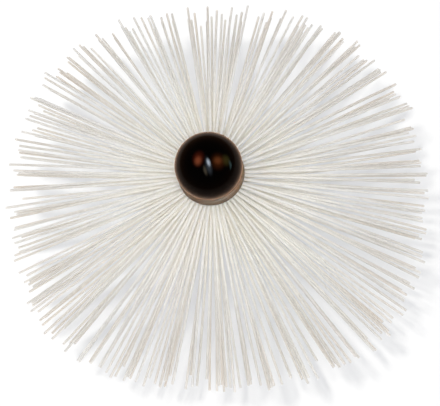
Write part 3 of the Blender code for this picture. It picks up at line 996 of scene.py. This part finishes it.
def sky_patch(tree, place, towards, along, size_along, size_across):
    """Mask of a soft-edged patch of the surroundings, centred on one direction."""
    centre = Vector(towards).normalized()
    first = (Vector(along) - Vector(along).dot(centre) * centre).normalized()
    second = centre.cross(first)
    u = math_node(tree, "DIVIDE", vector_math(tree, "DOT_PRODUCT", place, first), size_along)
    v = math_node(tree, "DIVIDE", vector_math(tree, "DOT_PRODUCT", place, second), size_across)
    far = math_node(tree, "SQRT", math_node(tree, "ADD", math_node(tree, "MULTIPLY", u, u),
                                            math_node(tree, "MULTIPLY", v, v)))
    near = remap(tree, far, 1.0, 0.0, kind="SMOOTHERSTEP")
    front = math_node(tree, "GREATER_THAN",
                      vector_math(tree, "DOT_PRODUCT", place, centre), 0.0)
    return math_node(tree, "MULTIPLY", near, front)


def mirrored(axes, right_share, up_share):
    """Direction that the ball mirrors towards the camera at one place in its picture."""
    right, upward, back = axes
    facing = math.sqrt(1 - right_share ** 2 - up_share ** 2)
    normal = right_share * right + up_share * upward + facing * back
    return 2 * facing * normal - back


def add_world(stage):
    """White surroundings for the camera, plain fill light, and a dim room in reflections."""
    world = bpy.data.worlds.new("studio")
    bpy.context.scene.world = world
    world.use_nodes = True
    tree = world.node_tree
    tree.nodes.clear()
    path = add(tree, "ShaderNodeLightPath").outputs
    place = add(tree, "ShaderNodeTexCoord").outputs["Generated"]
    height = add(tree, "ShaderNodeSeparateXYZ", {0: place}).outputs["Z"]
    room = remap(tree, height, 0.0, 0.42, 1.0, 0.0, "SMOOTHSTEP")
    colour_seen = mix_colour(tree, room, ROOM_DARK, ROOM_BROWN)
    axes = camera_axes(stage)
    for place_seen, along_seen, sizes, tint in ROOM_PATCHES:
        towards = mirrored(axes, *place_seen)
        end = [middle + 0.1 * step for middle, step in zip(place_seen, along_seen)]
        mask = sky_patch(tree, place, towards, mirrored(axes, *end) - towards,
                         2 * sizes[0], 2 * sizes[1])
        patch = add(tree, "ShaderNodeVectorMath", {0: tint, "Scale": mask}, operation="SCALE")
        colour_seen = vector_math(tree, "ADD", colour_seen, patch.outputs[0])
    fill = tuple(stage.fill * channel for channel in FILL_TINT)
    lighting = mix_colour(tree, path["Is Glossy Ray"], fill, (0, 0, 0))
    reflected = mix_colour(tree, path["Is Glossy Ray"], (0, 0, 0), colour_seen)
    both = vector_math(tree, "ADD", lighting, reflected)
    shown = math_node(tree, "MAXIMUM", path["Is Camera Ray"], path["Is Transmission Ray"])
    final = mix_colour(tree, shown, both, WHITE)
    background = add(tree, "ShaderNodeBackground", {"Color": final, "Strength": 1.0})
    add(tree, "ShaderNodeOutputWorld", {"Surface": background.outputs[0]})


def add_lamp(name, towards, brightness, size, tint):
    """Square lamp with soft shadows that lights the brush from one direction."""
    data = bpy.data.lights.new(name, "AREA")
    data.size = size
    data.color = tint
    data.energy = brightness * math.pi * math.pi * LAMP_DISTANCE ** 2
    lamp = bpy.data.objects.new(name, data)
    bpy.context.scene.collection.objects.link(lamp)
    lamp.location = Vector((0, 0, 0.05)) + LAMP_DISTANCE * towards
    lamp.rotation_euler = towards.to_track_quat("Z", "Y").to_euler()
    lamp.visible_glossy = False
    return lamp


class CHIMNEY_OT_stage(bpy.types.Operator):
    """White floor, soft light and the camera of the photograph"""
    bl_idname = "chimney_brush.stage"
    bl_label = "Stage"

    def execute(self, context):
        stage = context.scene.chimney_stage
        add_camera(stage)
        floor = add_floor()
        add_world(stage)
        right, upward, back = camera_axes(stage)
        # Above the brush, off towards the picture's upper left; and beside the camera
        above = (Vector((0, 0, 1)) - 0.31 * right + 0.16 * upward).normalized()
        beside = (back + 0.03 * right).normalized()
        warm, plain = (1.0, 0.975, 0.92), (0.985, 0.988, 1.0)
        add_lamp("front", beside, stage.front, 0.36, plain)
        add_lamp("key", above, stage.key, 0.20, warm)
        shading = add_lamp("floor_key", above, stage.floor_key, 0.20, warm)
        lit = bpy.data.collections.new("lit_by_floor_key")
        lit.objects.link(floor)
        shading.light_linking.receiver_collection = lit
        context.scene.view_settings.view_transform = "Standard"
        # Light passes from strand to strand many times before it leaves the rows
        context.scene.cycles.diffuse_bounces = 12
        return {"FINISHED"}


class CHIMNEY_OT_finishes(bpy.types.Operator):
    """Node materials of every piece"""
    bl_idname = "chimney_brush.finishes"
    bl_label = "Finishes"

    def execute(self, context):
        breakup, rub = breakup_group(), edge_rub_group()
        turning, thread = turning_group(), thread_group()
        scene = context.scene
        nylon_material(scene.chimney_strands)
        ball_material(scene.chimney_ball, breakup)
        wood_material(scene.chimney_collar, breakup, turning)
        metal = scene.chimney_fasteners
        for name, base, roughness, extras in (
                ("zinc_plated_steel", metal.zinc, 0.34, ()),
                ("zinc_plated_turned", metal.zinc, 0.30, (turning,)),
                ("zinc_plated_thread", metal.zinc, 0.32, (None, thread, metal.spindle_pitch)),
                ("dark_spring_steel", metal.dark_steel, 0.42, ()),
                ("insert_brass", metal.brass, 0.28, (turning,))):
            metal_material(name, base, roughness, breakup, rub, *extras)
        return {"FINISHED"}


class CHIMNEY_PT_panel(bpy.types.Panel):
    """Sizes, colours and pieces of the chimney brush"""
    bl_label = "Chimney Brush"
    bl_idname = "CHIMNEY_PT_panel"
    bl_space_type = "VIEW_3D"
    bl_region_type = "UI"
    bl_category = "Chimney Brush"

    def draw(self, context):
        for operator in OPERATORS:
            self.layout.operator(operator.bl_idname)
        for name, group in SETTINGS.items():
            box = self.layout.box()
            box.label(text=name.replace("chimney_", "").title())
            for key in group.__annotations__:
                box.prop(getattr(context.scene, name), key)


SETTINGS = {
    "chimney_strands": StrandSettings,
    "chimney_ball": BallSettings,
    "chimney_collar": CollarSettings,
    "chimney_fasteners": FastenerSettings,
    "chimney_stage": StageSettings,
}
OPERATORS = (
    CHIMNEY_OT_finishes,
    CHIMNEY_OT_bristle_rows,
    CHIMNEY_OT_guide_ball,
    CHIMNEY_OT_front_collar,
    CHIMNEY_OT_washers,
    CHIMNEY_OT_spring_washer,
    CHIMNEY_OT_lock_nut,
    CHIMNEY_OT_rod_socket,
    CHIMNEY_OT_frame_finishes,
    CHIMNEY_OT_stage,
)


def register():
    for group in SETTINGS.values():
        bpy.utils.register_class(group)
    for name, group in SETTINGS.items():
        setattr(bpy.types.Scene, name, PointerProperty(type=group))
    for operator in OPERATORS:
        bpy.utils.register_class(operator)
    bpy.utils.register_class(CHIMNEY_PT_panel)


def unregister():
    bpy.utils.unregister_class(CHIMNEY_PT_panel)
    for operator in reversed(OPERATORS):
        bpy.utils.unregister_class(operator)
    for name in SETTINGS:
        delattr(bpy.types.Scene, name)
    for group in reversed(list(SETTINGS.values())):
        bpy.utils.unregister_class(group)


def main():
    register()
    pieces = bpy.ops.chimney_brush
    pieces.finishes()
    pieces.bristle_rows()
    pieces.guide_ball()
    pieces.front_collar()
    pieces.washers()
    pieces.spring_washer()
    pieces.lock_nut()
    pieces.rod_socket()
    pieces.frame_finishes()
    pieces.stage()


if __name__ == "__main__":
    main()
